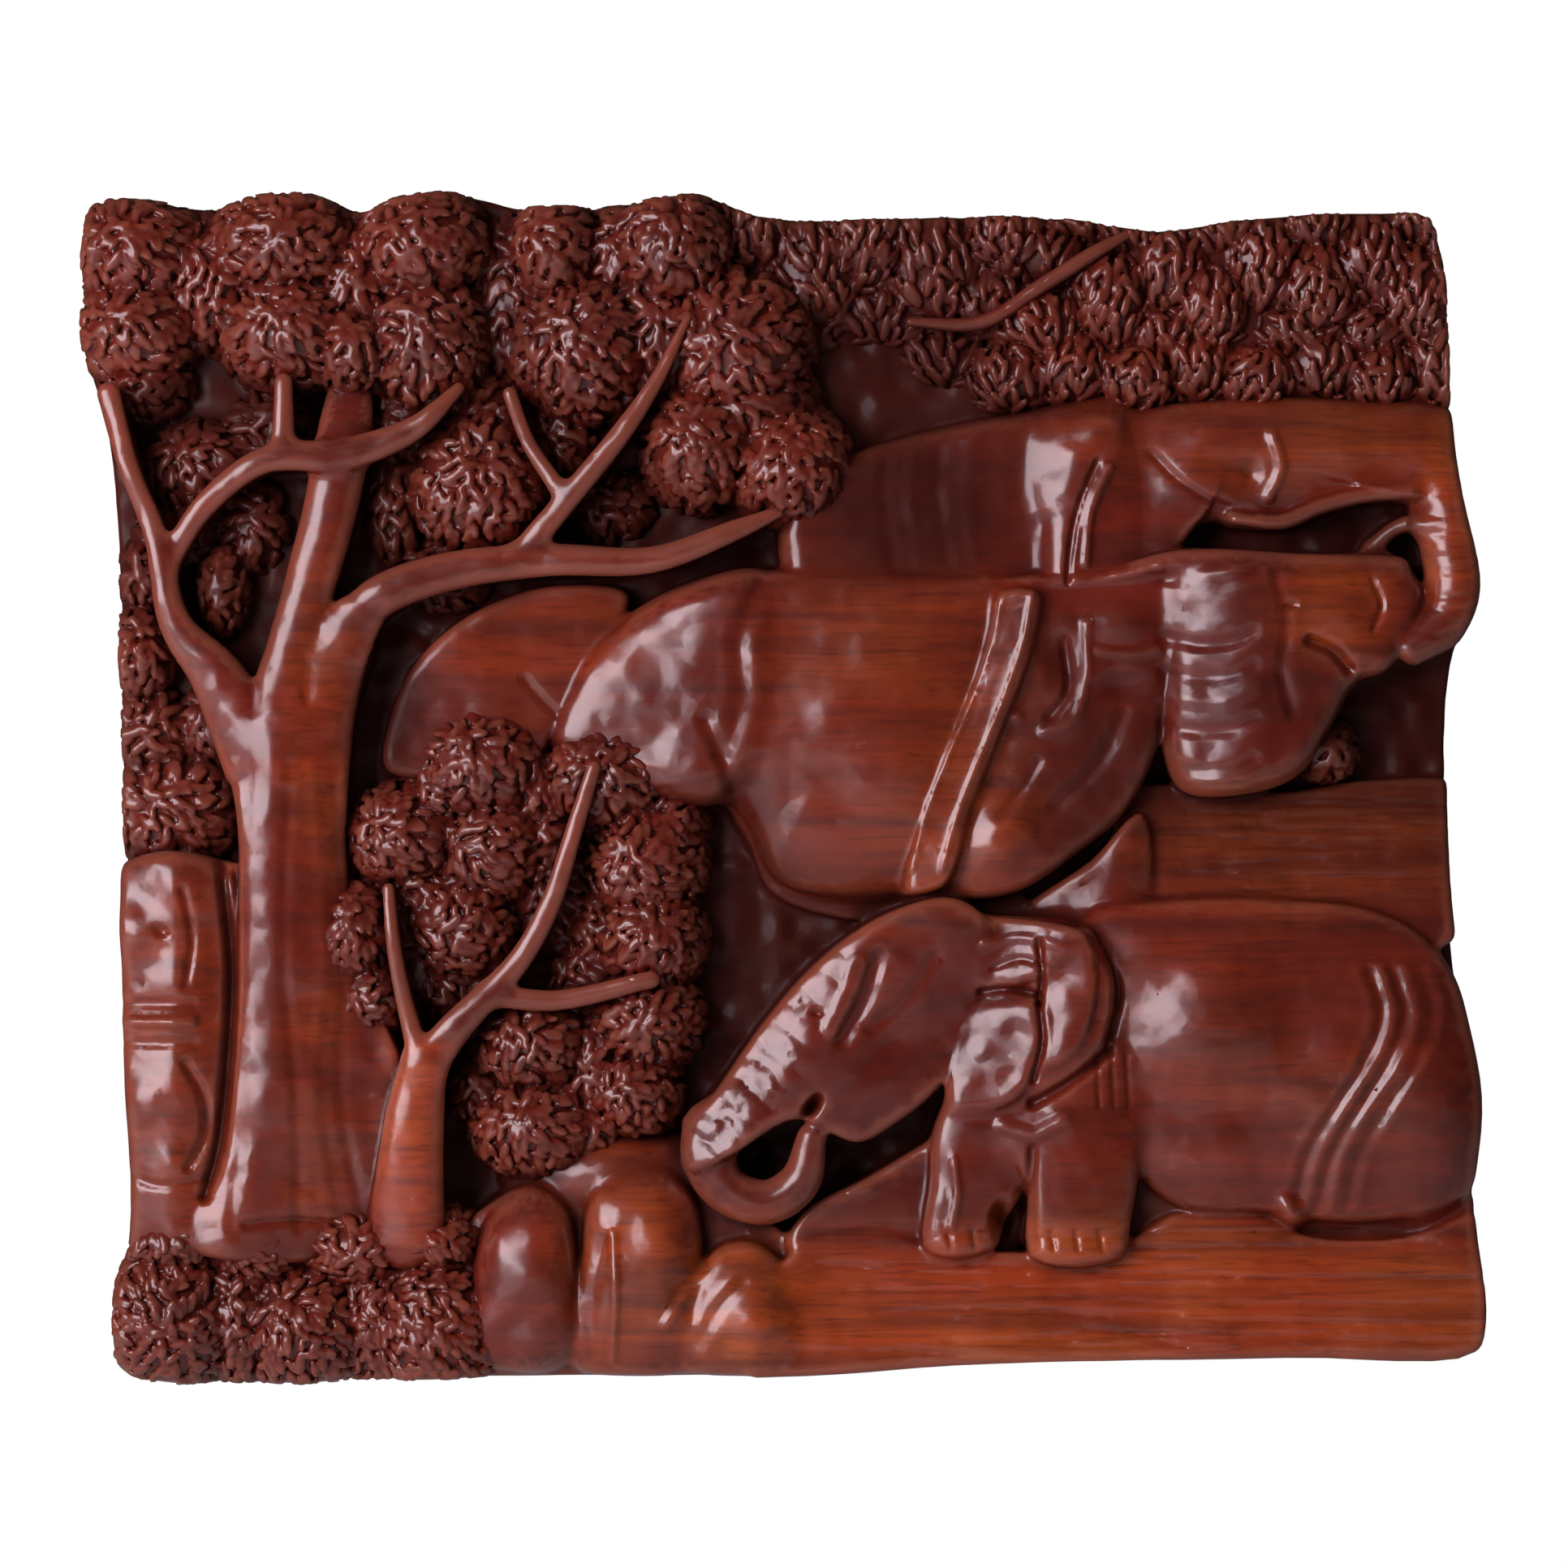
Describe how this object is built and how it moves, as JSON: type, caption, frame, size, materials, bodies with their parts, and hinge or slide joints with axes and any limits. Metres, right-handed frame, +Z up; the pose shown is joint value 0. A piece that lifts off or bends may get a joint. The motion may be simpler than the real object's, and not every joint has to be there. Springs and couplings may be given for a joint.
{
  "type": "carved relief panel",
  "caption": "Carved hardwood wall panel in deep relief: elephants walking among trees, with a flat back that hangs against a wall.",
  "frame": {"origin": "on the flat back where the panel hangs: halfway across its width and 80 mm below its top edge", "axes": "+X right across the panel as seen from the front, +Y out of the back into the wall, +Z up"},
  "size_m": [0.4688, 0.048, 0.3987],
  "materials": {
    "carved_wood": "gloss varnish over reddish-brown hardwood, darker in the hollows"
  },
  "bodies": {
    "root": {"carved_panel": "carved_wood"}
  },
  "joints": []
}
